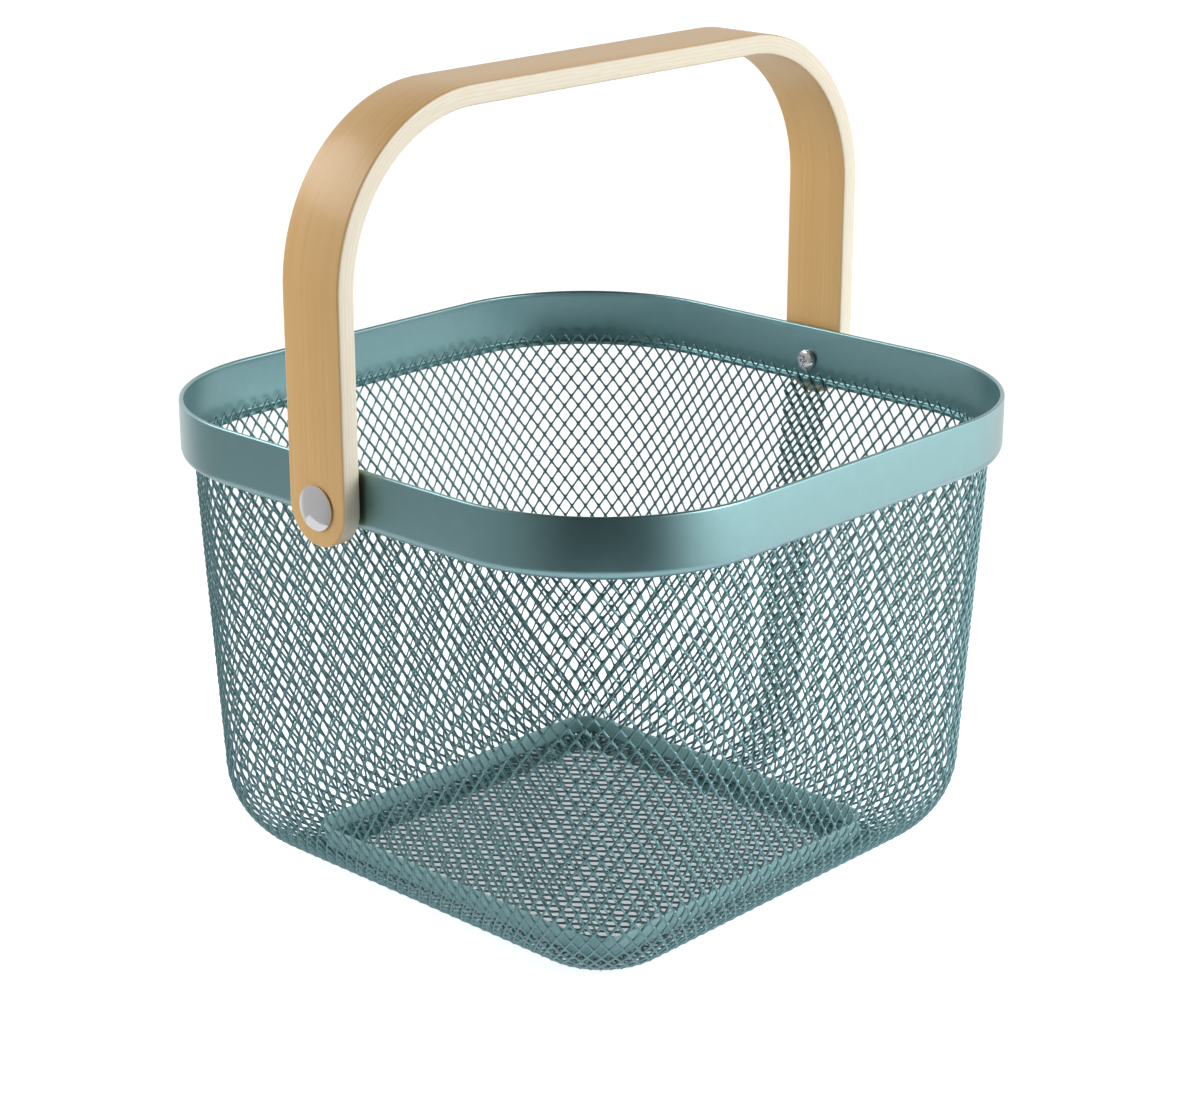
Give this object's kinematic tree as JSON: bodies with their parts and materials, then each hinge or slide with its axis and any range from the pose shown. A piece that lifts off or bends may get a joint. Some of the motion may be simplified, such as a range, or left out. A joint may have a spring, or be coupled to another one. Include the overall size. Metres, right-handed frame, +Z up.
{
  "type": "wire produce basket",
  "caption": "Square tapered wire-mesh basket with a steel rim band, a base ring and a swinging bent-wood carry handle.",
  "frame": {"origin": "centre of the underside, on the surface that the basket stands on", "axes": "+Z up through the basket's mouth; X is the handle's pivot axis; Y runs between the two sides with no pivot"},
  "size_m": [0.2718, 0.25, 0.3002],
  "materials": {
    "band_paint": "satin powder coat",
    "mesh_paint": "satin powder coat over expanded steel mesh",
    "ring_paint": "satin powder coat",
    "handle_wood": "clear satin lacquer on laminated birch veneer",
    "pivot_chrome": "bright nickel plate",
    "washer_nylon": "moulded nylon"
  },
  "bodies": {
    "basket": {"rim_band": "band_paint", "wall_mesh": "mesh_paint", "floor_mesh": "mesh_paint", "base_ring": "ring_paint", "sleeve_nut_left": "pivot_chrome", "sleeve_nut_right": "pivot_chrome", "screw_left": "pivot_chrome", "screw_right": "pivot_chrome", "spacer_washer_left": "washer_nylon", "spacer_washer_right": "washer_nylon"},
    "handle": {"handle": "handle_wood"}
  },
  "joints": [
    {"name": "handle_swing", "type": "hinge", "parent": "basket", "child": "handle", "pos_m": [0, 0, 0.1663], "axis": [1, 0, 0], "range_deg": [-106, 106]}
  ]
}
